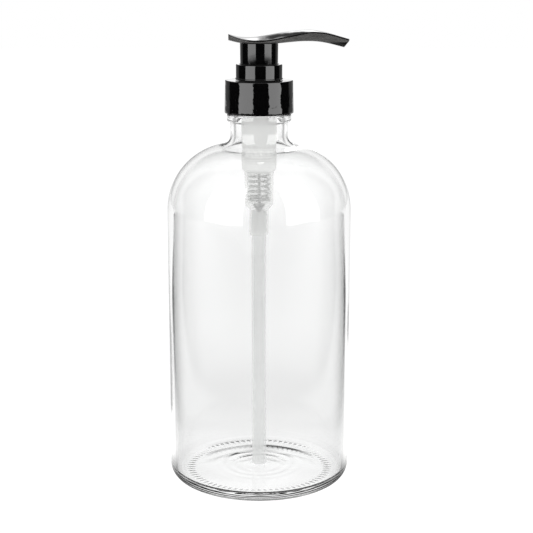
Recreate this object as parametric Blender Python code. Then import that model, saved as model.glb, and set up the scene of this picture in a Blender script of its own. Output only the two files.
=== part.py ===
# Soap pump dispenser: glass Boston Round bottle with a saddle-head lotion pump.
#
# The bottle stands on the world origin, on its own axis, and +Z is up. The spout points along +X.
# Every turned piece shares the bottle's axis, so every joint axis is the Z axis.

import bpy
import bmesh
from math import atan2, cos, degrees, pi, radians, sin

MM = 0.001
GAP = 0.3                    # clearance kept between pieces that touch

# Bottle, in millimetres
BODY_R = 47.35
HEEL_R = 6.7
SIDE_TOP_Z = 144.1
SHOULDER_C = (13.5, SIDE_TOP_Z)   # centre of the shoulder's arc
SHOULDER_R = 33.85
WALL = 2.85
NECK_C = (19.6, 182.5)       # centre of the hollow between shoulder and neck
NECK_R = 14.6
NECK_BORE_R = 12.0
BEAD_R = 16.4
BEAD_Z = (189.7, 193.7)
FINISH_R = 14.85
RIM_Z = 207.0
PUSH_UP = 1.6
BEARING_R = (34.0, BODY_R - HEEL_R)
FLOOR_R = 40.5
FLOOR_Z = (4.0, 5.0)         # at the axis and at the edge

# Screw thread shared by the bottle and the collar
PITCH = 4.233
TURNS = 1.5
THREAD_Z = 197.6             # middle of the bottle's thread where it starts, at angle 0
THREAD_CREST_R = 16.05
CREST_W = 1.1                # width of a thread at its crest
ROOT_W = 2.3                 # and at its root
COLLAR_CREST_R = 15.2
FADE = radians(20.0)         # angle over which a thread's ends run out

# Collar
COLLAR_R = (17.64, 17.3)     # at its bottom and top
COLLAR_Z = (194.1, 210.65)
COLLAR_BORE_R = 16.35
COLLAR_WEB = 0.95
COLLAR_HOLE_R = 10.8

# Chaplet
CHAPLET_R = 11.8
CHAPLET_FOOT_R = 12.1
CHAPLET_Z = (198.2, 218.6)
CHAPLET_BORE_R = 9.97
CHAPLET_SLEEVE_R = 10.5
GUIDE_R = (4.2, 5.4)
GUIDE_FLOOR_Z = (205.2, 206.3)
GUIDE_LIFT = 1.3             # the guide starts this far above the sleeve's lower edge

# Pump barrel
FLANGE_R = 14.5
FLANGE_Z = (208.5, 209.4)
CUP_R = (10.8, 11.7)
BARREL_UPPER_R = 9.0
BARREL_UPPER_BORE_R = 7.5
BARREL_LOWER_R = 7.35
BARREL_LOWER_BORE_R = 6.15
BARREL_STEP_Z = 165.5
BARREL_FOOT_Z = 144.5
NIPPLE_R = 5.0
NIPPLE_Z = 130.8
THROAT_R = 2.4
FLARE_Z = (193.0, 197.0)     # the barrel widens into its cup between these

# Tube, spring and moving core
TUBE_R = (2.75, 3.8)
TUBE_Z = (5.3, 142.7)
SPRING_R = 5.1               # to the middle of the wire
SPRING_WIRE_R = 0.5
SPRING_Z = (148.1, 174.2)
SPRING_TURNS = 11
PISTON_SLIP = 1.2
POPPET_Z = (142.6, 180.0)
POPPET_CONE_Z = (144.5, 146.1, 146.6, 147.4)
POPPET_R = (0.8, 3.0)        # of its stem and of its cone
ROD_R = 3.0
ROD_BORE_R = 1.2
ROD_Z = 163.0
ROD_COLLAR_R = 5.75
ROD_NECK = 10.0              # length of the rod's neck inside the stem
FLUTE = 0.7
PISTON_Z = 178.0
PISTON_HEIGHT = 7.4
PISTON_LIP = 0.6
STOP_R = 5.0
SEAL_Z = 197.6
SEAL_R = 9.3
STEM_R = (2.9, 3.9)
STEM_Z = (178.0, 225.1)

# Pump head
SKIRT_R = (8.4, 9.67)
SKIRT_Z = 217.4
SOCKET_R = (4.2, 5.6)
SOCKET_Z = (217.0, 225.4)
CEILING_Z = 226.9
SKIRT_TOP_Z = 229.9          # the skirt runs this far up into the head
SEAM_DROP = 0.5              # the seam lies this far under the head's top edge
CHANNEL_W = 5.0
CHANNEL_FLOOR = 1.2
# Side outline of the head as (x, z): top edge and underside
TOP_EDGE = [(-15.4, 233.9), (-10.0, 232.1), (-4.0, 231.05), (0.0, 230.9), (6.4, 231.5),
            (15.2, 233.05), (24.7, 234.85), (28.4, 234.93), (34.3, 234.25), (45.3, 231.3)]
UNDERSIDE = [(-15.6, 230.8), (-10.0, 229.6), (-3.0, 228.85), (3.0, 228.85), (9.4, 229.3),
             (20.0, 230.2), (25.0, 230.3), (29.6, 230.05), (34.4, 229.25), (42.6, 227.2)]
# Half width of the head and height of its crown above the edge, as (x, value)
HALF_WIDTH = [(-15.6, 6.0), (-15.0, 7.0), (-12.0, 8.2), (-8.0, 9.4), (-3.0, 10.2), (2.0, 10.15),
              (8.0, 9.2), (13.0, 7.9), (19.0, 6.8), (26.0, 6.0), (36.0, 5.2), (45.3, 4.6)]
CROWN = [(-15.4, 0.1), (-10.0, 0.5), (-4.0, 1.2), (3.0, 1.95), (9.5, 2.2), (15.0, 2.0),
         (22.0, 1.3), (28.0, 0.7), (34.0, 0.35), (45.3, 0.15)]
TIP_SLANT = 2.7              # the tip's end face leans back by this much at its lower edge
SLANT_FROM_X = 28.0

BOTTLE_SEGMENTS = 40
COLLAR_SEGMENTS = 40
RING_SEGMENTS = 28
CORE_SEGMENTS = 20


def clear_scene():
    for obj in list(bpy.data.objects):
        bpy.data.objects.remove(obj, do_unlink=True)


def make_material(name, colour, roughness, metallic=0.0, transmission=0.0, ior=1.5):
    material = bpy.data.materials.new(name)
    material.use_nodes = True
    shader = material.node_tree.nodes["Principled BSDF"]
    shader.inputs["Base Color"].default_value = (*colour, 1.0)
    shader.inputs["Roughness"].default_value = roughness
    shader.inputs["Metallic"].default_value = metallic
    shader.inputs["Transmission Weight"].default_value = transmission
    shader.inputs["IOR"].default_value = ior
    return material


def add_object(name, mesh, material, smooth_angle=38.0):
    mesh.materials.append(material)
    if smooth_angle:
        mesh.shade_smooth()
        mesh.set_sharp_from_angle(angle=radians(smooth_angle))
    obj = bpy.data.objects.new(name, mesh)
    bpy.context.collection.objects.link(obj)
    return obj


def finish_mesh(name, bm):
    bmesh.ops.recalc_face_normals(bm, faces=bm.faces)
    mesh = bpy.data.meshes.new(name)
    bm.to_mesh(mesh)
    bm.free()
    return mesh


def arc(centre, radius, start, end, steps):
    """Points of an arc in the (r, z) plane, from angle start to angle end, in degrees."""
    points = []
    for i in range(steps + 1):
        a = radians(start + (end - start) * i / steps)
        points.append((centre[0] + radius * cos(a), centre[1] + radius * sin(a)))
    return points


def turned_mesh(name, profile, segments, relief=None):
    """Revolves a closed (r, z) outline about Z. Points at r = 0 become poles.

    relief(r, z, angle) may move a point in or out, as a thread does.
    """
    bm = bmesh.new()
    rings = []
    for r, z in profile:
        if r < 1e-9:
            rings.append([bm.verts.new((0.0, 0.0, z * MM))])
            continue
        ring = []
        for i in range(segments):
            a = 2.0 * pi * i / segments
            rr = relief(r, z, a) if relief else r
            ring.append(bm.verts.new((rr * cos(a) * MM, rr * sin(a) * MM, z * MM)))
        rings.append(ring)
    for a, b in zip(rings, rings[1:] + rings[:1]):
        if len(a) == 1 and len(b) == 1:
            continue
        for i in range(segments):
            j = (i + 1) % segments
            if len(a) == 1:
                bm.faces.new((a[0], b[i], b[j]))
            elif len(b) == 1:
                bm.faces.new((a[i], a[j], b[0]))
            else:
                bm.faces.new((a[i], a[j], b[j], b[i]))
    return finish_mesh(name, bm)


def turned(name, profile, segments, material, relief=None):
    return add_object(name, turned_mesh(name, profile, segments, relief), material)


def thread_height(z, angle, centre_z):
    """Height of a right-hand thread at a point, from 0 at the root to 1 on the crest.

    The thread rises by one pitch a turn and starts at angle 0, with its middle at centre_z.
    """
    best = 0.0
    for turn in range(int(TURNS) + 1):
        along = angle + 2.0 * pi * turn
        if along > 2.0 * pi * TURNS:
            continue
        off = abs(z - (centre_z + PITCH * along / (2.0 * pi)))
        flank = (ROOT_W / 2.0 - off) / (ROOT_W / 2.0 - CREST_W / 2.0)
        fade = min(1.0, along / FADE, (2.0 * pi * TURNS - along) / FADE)
        best = max(best, max(0.0, min(1.0, flank)) * max(0.0, fade))
    return best


def steps_between(low, high, step):
    count = max(1, round((high - low) / step))
    return [low + (high - low) * i / count for i in range(count + 1)]


def smooth_curve(points, x):
    """A smooth curve through (x, value) points, read at x."""
    if x <= points[0][0]:
        return points[0][1]
    if x >= points[-1][0]:
        return points[-1][1]
    k = max(i for i in range(len(points) - 1) if points[i][0] <= x)

    def slope(i):
        if i == 0 or i == len(points) - 1:
            i, j = (0, 1) if i == 0 else (i - 1, i)
            return (points[j][1] - points[i][1]) / (points[j][0] - points[i][0])
        return (points[i + 1][1] - points[i - 1][1]) / (points[i + 1][0] - points[i - 1][0])

    (x0, y0), (x1, y1) = points[k], points[k + 1]
    w = x1 - x0
    t = (x - x0) / w
    return ((2 * t ** 3 - 3 * t ** 2 + 1) * y0 + (t ** 3 - 2 * t ** 2 + t) * w * slope(k)
            + (-2 * t ** 3 + 3 * t ** 2) * y1 + (t ** 3 - t ** 2) * w * slope(k + 1))


def lofted(name, sections):
    """Skins a row of closed sections, each with the same number of points, and caps both ends."""
    bm = bmesh.new()
    rings = [[bm.verts.new((x * MM, y * MM, z * MM)) for x, y, z in section] for section in sections]
    for a, b in zip(rings, rings[1:]):
        for i in range(len(a)):
            j = (i + 1) % len(a)
            bm.faces.new((a[i], a[j], b[j], b[i]))
    bm.faces.new(rings[0])
    bm.faces.new(list(reversed(rings[-1])))
    bmesh.ops.triangulate(bm, faces=bm.faces)
    return finish_mesh(name, bm)


def boolean(obj, operation, other):
    modifier = obj.modifiers.new(other.name, 'BOOLEAN')
    modifier.operation = operation
    modifier.solver = 'EXACT'
    modifier.object = other
    other.hide_render = True
    other.display_type = 'WIRE'


def make_bottle():
    glass = make_material("clear glass", (0.97, 0.98, 0.98), 0.02, transmission=1.0, ior=1.5)
    inner_r = BODY_R - WALL
    tangent = degrees(atan2(NECK_C[1] - SHOULDER_C[1], NECK_C[0] - SHOULDER_C[0]))
    hollow_r = NECK_C[0] - NECK_R
    bore_hollow_r = NECK_C[0] - NECK_BORE_R
    # underside, from the axis out
    profile = [(0.0, PUSH_UP), (BEARING_R[0] - 1.5, PUSH_UP - 0.9), (BEARING_R[0], 0.0)]
    profile += arc((BEARING_R[1], HEEL_R), HEEL_R, -90.0, 0.0, 5)
    profile += arc(SHOULDER_C, SHOULDER_R, 0.0, tangent, 9)
    profile += arc(NECK_C, hollow_r, 180.0 + tangent, 180.0, 4)[1:]
    # bead
    profile += [(NECK_R, BEAD_Z[0]), (BEAD_R - 0.5, BEAD_Z[0] + 0.3), (BEAD_R, BEAD_Z[0] + 1.0),
                (BEAD_R, BEAD_Z[1] - 1.0), (BEAD_R - 0.5, BEAD_Z[1] - 0.3), (FINISH_R, BEAD_Z[1] + 0.3)]
    # threaded finish and rim
    thread_top = THREAD_Z + PITCH * TURNS + ROOT_W / 2.0
    profile += [(FINISH_R, z) for z in steps_between(THREAD_Z - ROOT_W / 2.0, thread_top, PITCH / 8.0)]
    profile += [(FINISH_R, RIM_Z - 0.8), (FINISH_R - 0.7, RIM_Z), (NECK_BORE_R + 0.6, RIM_Z),
                (NECK_BORE_R, RIM_Z - 0.6)]
    # inside, from the neck down to the floor
    profile += arc(NECK_C, bore_hollow_r, 180.0, 180.0 + tangent, 3)
    profile += arc(SHOULDER_C, SHOULDER_R - WALL, tangent, 0.0, 7)[1:]
    profile += arc((FLOOR_R, FLOOR_Z[1] + inner_r - FLOOR_R), inner_r - FLOOR_R, 0.0, -90.0, 4)
    profile += [(0.0, FLOOR_Z[0])]

    def relief(r, z, angle):
        if abs(r - FINISH_R) > 1e-6:
            return r
        return r + (THREAD_CREST_R - FINISH_R) * thread_height(z, angle, THREAD_Z)

    return turned("bottle", profile, BOTTLE_SEGMENTS, glass, relief)


def make_gasket():
    foam = make_material("white foam liner", (0.90, 0.90, 0.88), 0.7)
    low, high = RIM_Z + GAP, FLANGE_Z[0] - GAP
    profile = [(12.3, low), (14.6, low), (14.7, low + 0.2), (14.7, high - 0.2), (14.6, high), (12.3, high)]
    return turned("gasket", profile, RING_SEGMENTS, foam)


def make_collar():
    plastic = make_material("black collar plastic", (0.012, 0.012, 0.013), 0.12)
    low, high = COLLAR_Z
    web = high - COLLAR_WEB
    rib_z = THREAD_Z + PITCH / 2.0          # the collar's thread runs between the bottle's turns
    rib_low = rib_z - ROOT_W / 2.0
    rib_high = rib_z + PITCH * TURNS + ROOT_W / 2.0
    profile = [(COLLAR_BORE_R, low), (COLLAR_R[0] - 0.3, low), (COLLAR_R[0], low + 0.3)]
    profile += arc((COLLAR_R[1] - 0.6, high - 0.6), 0.6, 0.0, 90.0, 3)
    profile += [(COLLAR_HOLE_R, high), (COLLAR_HOLE_R, web), (COLLAR_BORE_R, web)]
    profile += [(COLLAR_BORE_R, z) for z in reversed(steps_between(rib_low, rib_high, PITCH / 8.0))]

    def relief(r, z, angle):
        if abs(r - COLLAR_BORE_R) > 1e-6:
            return r
        return r - (COLLAR_BORE_R - COLLAR_CREST_R) * thread_height(z, angle, rib_z)

    return turned("collar", profile, COLLAR_SEGMENTS, plastic, relief)


def make_chaplet():
    plastic = make_material("black chaplet plastic", (0.012, 0.012, 0.013), 0.14)
    foot = COLLAR_Z[1] + GAP
    low, high = CHAPLET_Z
    profile = [
        (GUIDE_R[0], low + GUIDE_LIFT), (GUIDE_R[1], low + GUIDE_LIFT),
        (GUIDE_R[1], GUIDE_FLOOR_Z[0]),
        (CHAPLET_SLEEVE_R - 0.8, GUIDE_FLOOR_Z[0]), (CHAPLET_SLEEVE_R - 0.8, low),
        (CHAPLET_SLEEVE_R, low), (CHAPLET_SLEEVE_R, foot), (CHAPLET_FOOT_R, foot),
        (CHAPLET_FOOT_R, foot + 0.6), (CHAPLET_R, foot + 0.8), (CHAPLET_R, high - 0.5),
        (CHAPLET_R - 0.5, high), (CHAPLET_BORE_R + 0.4, high), (CHAPLET_BORE_R, high - 0.4),
        (CHAPLET_BORE_R, GUIDE_FLOOR_Z[1]), (GUIDE_R[0], GUIDE_FLOOR_Z[1]),
    ]
    return turned("chaplet", profile, RING_SEGMENTS, plastic)


def make_housing():
    plastic = make_material("natural polypropylene", (0.80, 0.81, 0.80), 0.35, transmission=0.6)
    seat_z = SPRING_Z[0] - GAP
    profile = [
        (TUBE_R[1] + GAP, NIPPLE_Z), (NIPPLE_R - 0.2, NIPPLE_Z), (NIPPLE_R, NIPPLE_Z + 0.3),
        (NIPPLE_R, BARREL_FOOT_Z)]
    profile += arc((BARREL_LOWER_R - 2.4, BARREL_FOOT_Z + 2.4), 2.4, -85.0, 0.0, 3)
    profile += [
        (BARREL_LOWER_R, BARREL_STEP_Z - 1.6), (BARREL_UPPER_R, BARREL_STEP_Z), (BARREL_UPPER_R, FLARE_Z[0]),
        (CUP_R[1], FLARE_Z[1]), (CUP_R[1], FLANGE_Z[0]), (FLANGE_R, FLANGE_Z[0]), (FLANGE_R, FLANGE_Z[1]),
        (CUP_R[0], FLANGE_Z[1]), (CUP_R[0], FLARE_Z[1] + 0.4),
        (BARREL_UPPER_BORE_R, FLARE_Z[0] + 0.6),
        (BARREL_UPPER_BORE_R, BARREL_STEP_Z + 0.8), (BARREL_LOWER_BORE_R, BARREL_STEP_Z - 1.0),
        (BARREL_LOWER_BORE_R, seat_z), (4.4, seat_z), (THROAT_R, BARREL_FOOT_Z + 0.1),
        (THROAT_R, TUBE_Z[1] + GAP), (TUBE_R[1] + GAP, TUBE_Z[1] + GAP),
    ]
    return turned("housing", profile, RING_SEGMENTS, plastic)


def make_dip_tube():
    plastic = make_material("natural polyethylene", (0.84, 0.85, 0.84), 0.30, transmission=0.6)
    profile = [(TUBE_R[0], TUBE_Z[0]), (TUBE_R[1], TUBE_Z[0]), (TUBE_R[1], TUBE_Z[1]),
               (TUBE_R[0], TUBE_Z[1])]
    return turned("dip_tube", profile, CORE_SEGMENTS, plastic)


def make_poppet():
    plastic = make_material("grey acetal", (0.20, 0.20, 0.21), 0.35)
    low, high = POPPET_Z
    stem_r, cone_r = POPPET_R
    seat, widest, shoulder, stem_z = POPPET_CONE_Z
    profile = [(0.0, low), (0.6, low), (1.9, seat), (cone_r, widest), (cone_r, shoulder), (stem_r, stem_z),
               (stem_r, high - 0.4), (stem_r - 0.4, high), (0.0, high)]
    return turned("inlet_poppet", profile, 12, plastic)


def make_spring():
    """A compression spring: one curve along a coil that flattens towards its two closed ends."""
    steel = make_material("spring steel", (0.62, 0.62, 0.62), 0.28, metallic=1.0)
    points_a_turn = 12
    low = SPRING_Z[0] + SPRING_WIRE_R
    high = SPRING_Z[1] - SPRING_WIRE_R
    closed = 2.0 * SPRING_WIRE_R + 0.05     # rise of each closed end turn
    open_rise = (high - low - 2.0 * closed) / (SPRING_TURNS - 2)
    count = SPRING_TURNS * points_a_turn + 1
    curve = bpy.data.curves.new("main_spring", 'CURVE')
    curve.dimensions = '3D'
    curve.bevel_depth = SPRING_WIRE_R * MM
    curve.bevel_resolution = 1
    curve.use_fill_caps = True
    spline = curve.splines.new('POLY')
    spline.points.add(count - 1)
    for i in range(count):
        turn = i / points_a_turn
        z = low + closed * min(turn, 1.0)
        z += open_rise * min(max(turn - 1.0, 0.0), SPRING_TURNS - 2)
        z += closed * max(turn - (SPRING_TURNS - 1), 0.0)
        a = 2.0 * pi * turn
        spline.points[i].co = (SPRING_R * cos(a) * MM, SPRING_R * sin(a) * MM, z * MM, 1.0)
    curve.materials.append(steel)
    obj = bpy.data.objects.new("main_spring", curve)
    bpy.context.collection.objects.link(obj)
    return obj


def make_piston_rod():
    plastic = make_material("white acetal", (0.82, 0.82, 0.80), 0.35)
    seat = SPRING_Z[1] + GAP
    neck_top = STEM_Z[0] + ROD_NECK
    neck_r = STEM_R[0] - GAP
    profile = [(ROD_BORE_R, ROD_Z), (ROD_R, ROD_Z), (ROD_R, seat), (ROD_COLLAR_R, seat),
               (ROD_COLLAR_R, seat + 1.2), (ROD_R + 0.4, seat + 2.8), (neck_r, seat + 2.8),
               (neck_r, neck_top), (ROD_BORE_R, neck_top)]

    def flutes(r, z, angle):
        """Four ribs along the neck, with grooves between them that let the soap past."""
        if abs(r - neck_r) > 1e-6:
            return r
        return r - FLUTE * (0.5 - 0.5 * cos(4.0 * angle)) ** 0.5

    return turned("piston_rod", profile, 24, plastic, flutes)


def make_piston():
    rubber = make_material("white piston seal", (0.86, 0.86, 0.84), 0.45)
    bore = STEM_R[1] + GAP
    wall = BARREL_UPPER_BORE_R - GAP
    low, lip = PISTON_Z, wall - PISTON_LIP
    hub = bore + 1.1
    profile = [
        (bore, low + 0.5), (bore + 0.8, low), (hub, low + 0.5), (hub, low + 3.0),
        (wall - 1.0, low + 3.0), (lip, low), (wall, low), (wall - 0.2, low + 2.4),
        (wall - 0.2, low + 5.6), (wall, low + 8.0), (lip, low + 8.0), (wall - 1.0, low + 4.6),
        (hub, low + 4.6), (hub, low + PISTON_HEIGHT), (bore, low + PISTON_HEIGHT)]
    return turned("piston", profile, RING_SEGMENTS, rubber)


def make_stem():
    plastic = make_material("natural polypropylene stem", (0.85, 0.85, 0.83), 0.35)
    stop = PISTON_Z + PISTON_HEIGHT + PISTON_SLIP + GAP
    profile = [(STEM_R[0], STEM_Z[0]), (STEM_R[1], STEM_Z[0]), (STEM_R[1], stop), (STOP_R, stop + 0.2),
               (STOP_R, stop + 1.2), (STEM_R[1], stop + 1.8), (STEM_R[1], STEM_Z[1]),
               (STEM_R[0], STEM_Z[1])]
    return turned("stem", profile, CORE_SEGMENTS, plastic)


def make_stem_seal():
    rubber = make_material("stem wiper", (0.80, 0.80, 0.78), 0.5)
    low, high = SEAL_Z, CHAPLET_Z[0] + GUIDE_LIFT - GAP
    profile = [(GUIDE_R[0], low), (5.2, low), (6.0, low + 0.5), (SEAL_R, low + 0.5), (SEAL_R, high),
               (GUIDE_R[0], high)]
    return turned("stem_seal", profile, RING_SEGMENTS, rubber)


def slant(x):
    """How far a section's lower edge lies behind its upper edge: the spout bends down at its tip."""
    if x <= SLANT_FROM_X:
        return 0.0
    t = (x - SLANT_FROM_X) / (TOP_EDGE[-1][0] - SLANT_FROM_X)
    return TIP_SLANT * t


def head_stations():
    first, last = TOP_EDGE[0][0], TOP_EDGE[-1][0]
    return [first, first + 0.6] + steps_between(first + 2.4, last, 3.4)


def body_section(x):
    """One section of the head's lower half, from one side's seam round under to the other's."""
    w = smooth_curve(HALF_WIDTH, x)
    top = smooth_curve(TOP_EDGE, x) - SEAM_DROP - GAP
    under_x = x - slant(x)
    bottom = smooth_curve(UNDERSIDE, under_x)
    side = [(1.0, 0.0), (0.985, 0.38), (0.93, 0.70), (0.80, 0.92), (0.55, 1.0)]
    half = [(x + (under_x - x) * d, w * s, top + (bottom - top) * d) for s, d in side]
    return half + [(px, -py, pz) for px, py, pz in reversed(half)]


def cover_section(x):
    """One section of the head's upper half: a flat underside and a crowned top."""
    w = smooth_curve(HALF_WIDTH, x)
    edge = smooth_curve(TOP_EDGE, x)
    crown = smooth_curve(CROWN, x)
    back = slant(x) * SEAM_DROP / 4.0
    section = [(x - back, -w, edge - SEAM_DROP), (x - back, w, edge - SEAM_DROP)]
    for s in (1.0, 0.8, 0.5, 0.0, -0.5, -0.8, -1.0):
        section.append((x, w * s, edge + crown * (1.0 - s * s)))
    return section


def channel_section(x):
    """One section of the soap channel that runs from the stem socket to the tip."""
    edge = smooth_curve(TOP_EDGE, min(x, TOP_EDGE[-1][0]))
    crown = smooth_curve(CROWN, x)
    floor = smooth_curve(UNDERSIDE, x - slant(x)) + CHANNEL_FLOOR
    if x < 6.0:
        floor = CEILING_Z + CHANNEL_FLOOR
    half = CHANNEL_W / 2.0 * min(1.0, smooth_curve(HALF_WIDTH, x) / 5.2)
    roof = edge - SEAM_DROP - GAP / 2.0 + max(0.0, crown - 0.9)
    back = slant(x)
    return [(x - back, -half, floor), (x - back, half, floor), (x, half, roof), (x, -half, roof)]


def make_head():
    plastic = make_material("black head plastic", (0.012, 0.012, 0.013), 0.10)
    skirt = [(STEM_R[0], SOCKET_Z[1]), (SOCKET_R[0], SOCKET_Z[1]), (SOCKET_R[0], SOCKET_Z[0]),
             (SOCKET_R[1], SOCKET_Z[0]), (SOCKET_R[1], CEILING_Z), (SKIRT_R[0], CEILING_Z),
             (SKIRT_R[0], SKIRT_Z), (SKIRT_R[1], SKIRT_Z), (SKIRT_R[1], SKIRT_TOP_Z), (STEM_R[0], SKIRT_TOP_Z)]
    skirt_obj = turned("skirt_guide", skirt, 32, plastic)
    bore = [(0.0, SOCKET_Z[1] - 2.0), (STEM_R[0], SOCKET_Z[1] - 2.0), (STEM_R[0], 229.0), (0.0, 229.0)]
    bore_obj = turned("bore_cutter", bore, 32, plastic)
    far = TOP_EDGE[-1][0] + 4.0
    stations = [-3.5, 0.0, 5.9, 9.0] + steps_between(12.0, 42.0, 6.0) + [far - 4.0, far]
    channel = add_object("channel_cutter", lofted("channel_cutter", [channel_section(x) for x in stations]),
                         plastic, 0)
    body = add_object("actuator_body", lofted("actuator_body", [body_section(x) for x in head_stations()]),
                      plastic)
    boolean(body, 'UNION', skirt_obj)
    boolean(body, 'DIFFERENCE', bore_obj)
    boolean(body, 'DIFFERENCE', channel)
    cover_plastic = make_material("black cover plastic", (0.012, 0.012, 0.013), 0.08)
    cover = add_object("actuator_cover",
                       lofted("actuator_cover", [cover_section(x) for x in head_stations()]),
                       cover_plastic)
    boolean(cover, 'DIFFERENCE', channel)
    return body, cover


clear_scene()
make_bottle()
make_gasket()
make_collar()
make_chaplet()
make_housing()
make_dip_tube()
make_poppet()
make_spring()
make_piston_rod()
make_piston()
make_stem()
make_stem_seal()
make_head()
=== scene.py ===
import bpy
import bmesh
import numpy as np
from math import atan2, cos, degrees, exp, pi, radians, sin
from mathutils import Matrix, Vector


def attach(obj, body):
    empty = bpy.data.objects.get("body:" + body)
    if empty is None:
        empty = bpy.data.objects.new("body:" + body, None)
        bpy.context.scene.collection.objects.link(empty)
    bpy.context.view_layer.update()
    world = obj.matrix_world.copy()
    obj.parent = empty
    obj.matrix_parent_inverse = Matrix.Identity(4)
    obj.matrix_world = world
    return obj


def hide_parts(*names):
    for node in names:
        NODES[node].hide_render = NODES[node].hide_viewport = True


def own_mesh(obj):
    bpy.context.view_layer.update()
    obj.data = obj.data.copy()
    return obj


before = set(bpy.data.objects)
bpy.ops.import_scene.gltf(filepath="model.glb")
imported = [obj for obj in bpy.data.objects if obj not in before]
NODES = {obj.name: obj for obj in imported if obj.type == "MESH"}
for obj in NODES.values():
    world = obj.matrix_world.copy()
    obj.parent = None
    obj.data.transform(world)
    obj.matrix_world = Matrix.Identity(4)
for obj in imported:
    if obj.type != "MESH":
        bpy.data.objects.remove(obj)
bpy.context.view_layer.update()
MM = 0.001
TAU = 2.0 * pi


# ---------------------------------------------------------------- node helpers

class Nodes:
    """Short calls for building a node tree."""

    def __init__(self, tree):
        self.tree = tree

    def add(self, kind, **values):
        node = self.tree.nodes.new(kind)
        for key, value in values.items():
            setattr(node, key, value)
        return node

    def link(self, a, b):
        self.tree.links.new(a, b)

    def put(self, socket, value):
        """Links the socket to another node's output, or sets it to a plain value."""
        if hasattr(value, "default_value") and hasattr(value, "node"):
            self.link(value, socket)
        else:
            socket.default_value = value

    def math(self, operation, a, b=0.0):
        node = self.add("ShaderNodeMath", operation=operation)
        for socket, value in zip(node.inputs, (a, b)):
            self.put(socket, value)
        return node.outputs[0]

    def ramp(self, value, low, high, out_low=0.0, out_high=1.0):
        """Smooth step from out_low, where the value is low, to out_high, where it is high."""
        node = self.add("ShaderNodeMapRange", interpolation_type='SMOOTHSTEP')
        for socket, number in zip(node.inputs, (value, low, high, out_low, out_high)):
            self.put(socket, number)
        return node.outputs[0]

    def noise(self, vector, scale, detail=2.0, roughness=0.5):
        node = self.add("ShaderNodeTexNoise")
        self.put(node.inputs["Vector"], vector)
        node.inputs["Scale"].default_value = scale
        node.inputs["Detail"].default_value = detail
        node.inputs["Roughness"].default_value = roughness
        return node.outputs["Fac"]

    def place(self, stretch=(1.0, 1.0, 1.0)):
        """Object coordinates in metres, stretched."""
        source = self.add("ShaderNodeTexCoord").outputs["Object"]
        mapping = self.add("ShaderNodeMapping")
        self.link(source, mapping.inputs["Vector"])
        mapping.inputs["Scale"].default_value = stretch
        return mapping.outputs["Vector"]

    def mix(self, fac, a, b):
        node = self.add("ShaderNodeMix", data_type='RGBA')
        self.put(node.inputs[0], fac)
        self.put(node.inputs[6], a)
        self.put(node.inputs[7], b)
        return node.outputs[2]

    def mix_value(self, fac, a, b):
        node = self.add("ShaderNodeMix", data_type='FLOAT')
        self.put(node.inputs[0], fac)
        self.put(node.inputs[2], a)
        self.put(node.inputs[3], b)
        return node.outputs[0]

    def height(self):
        """Height above the resting face, in metres."""
        split = self.add("ShaderNodeSeparateXYZ")
        self.link(self.place(), split.inputs[0])
        return split.outputs[2]

    def bump(self, height, strength, distance, normal=None):
        node = self.add("ShaderNodeBump")
        node.inputs["Strength"].default_value = strength
        node.inputs["Distance"].default_value = distance
        self.put(node.inputs["Height"], height)
        if normal is not None:
            self.link(normal, node.inputs["Normal"])
        return node.outputs["Normal"]


def new_material(name):
    material = bpy.data.materials.new(name)
    material.use_nodes = True
    shader = material.node_tree.nodes["Principled BSDF"]
    return material, Nodes(material.node_tree), shader


def wear_material(obj, material):
    obj.data.materials.clear()
    obj.data.materials.append(material)


# ---------------------------------------------------------------- materials

# the two tones that each material varies between
BLACK_TONES = ((0.0010, 0.0010, 0.0011, 1), (0.0022, 0.0021, 0.0022, 1))
# painted light: greys that stand for the light the spout's side faces catch, not a colour of the black
# plastic
SIDE_PAINTED_LIGHT_TONES = ((0.050, 0.049, 0.048, 1), (0.085, 0.084, 0.082, 1))
# the foam's darker tone is painted shade for the hollows between its cells
FOAM_AND_PAINTED_SHADE_TONES = ((0.93, 0.93, 0.91, 1), (0.80, 0.80, 0.78, 1))
STEEL_TONES = ((0.46, 0.46, 0.46, 1), (0.66, 0.66, 0.66, 1))
GLASS_TONES = ((0.985, 0.99, 0.988, 1), (1.0, 1.0, 1.0, 1))
SATIN_ROUGHNESS, FOAM_ROUGHNESS = 0.34, 0.75
PLASTIC_IOR, GLASS_IOR = 1.49, 1.5
NATURAL_SPECULAR = 0.12


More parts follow.
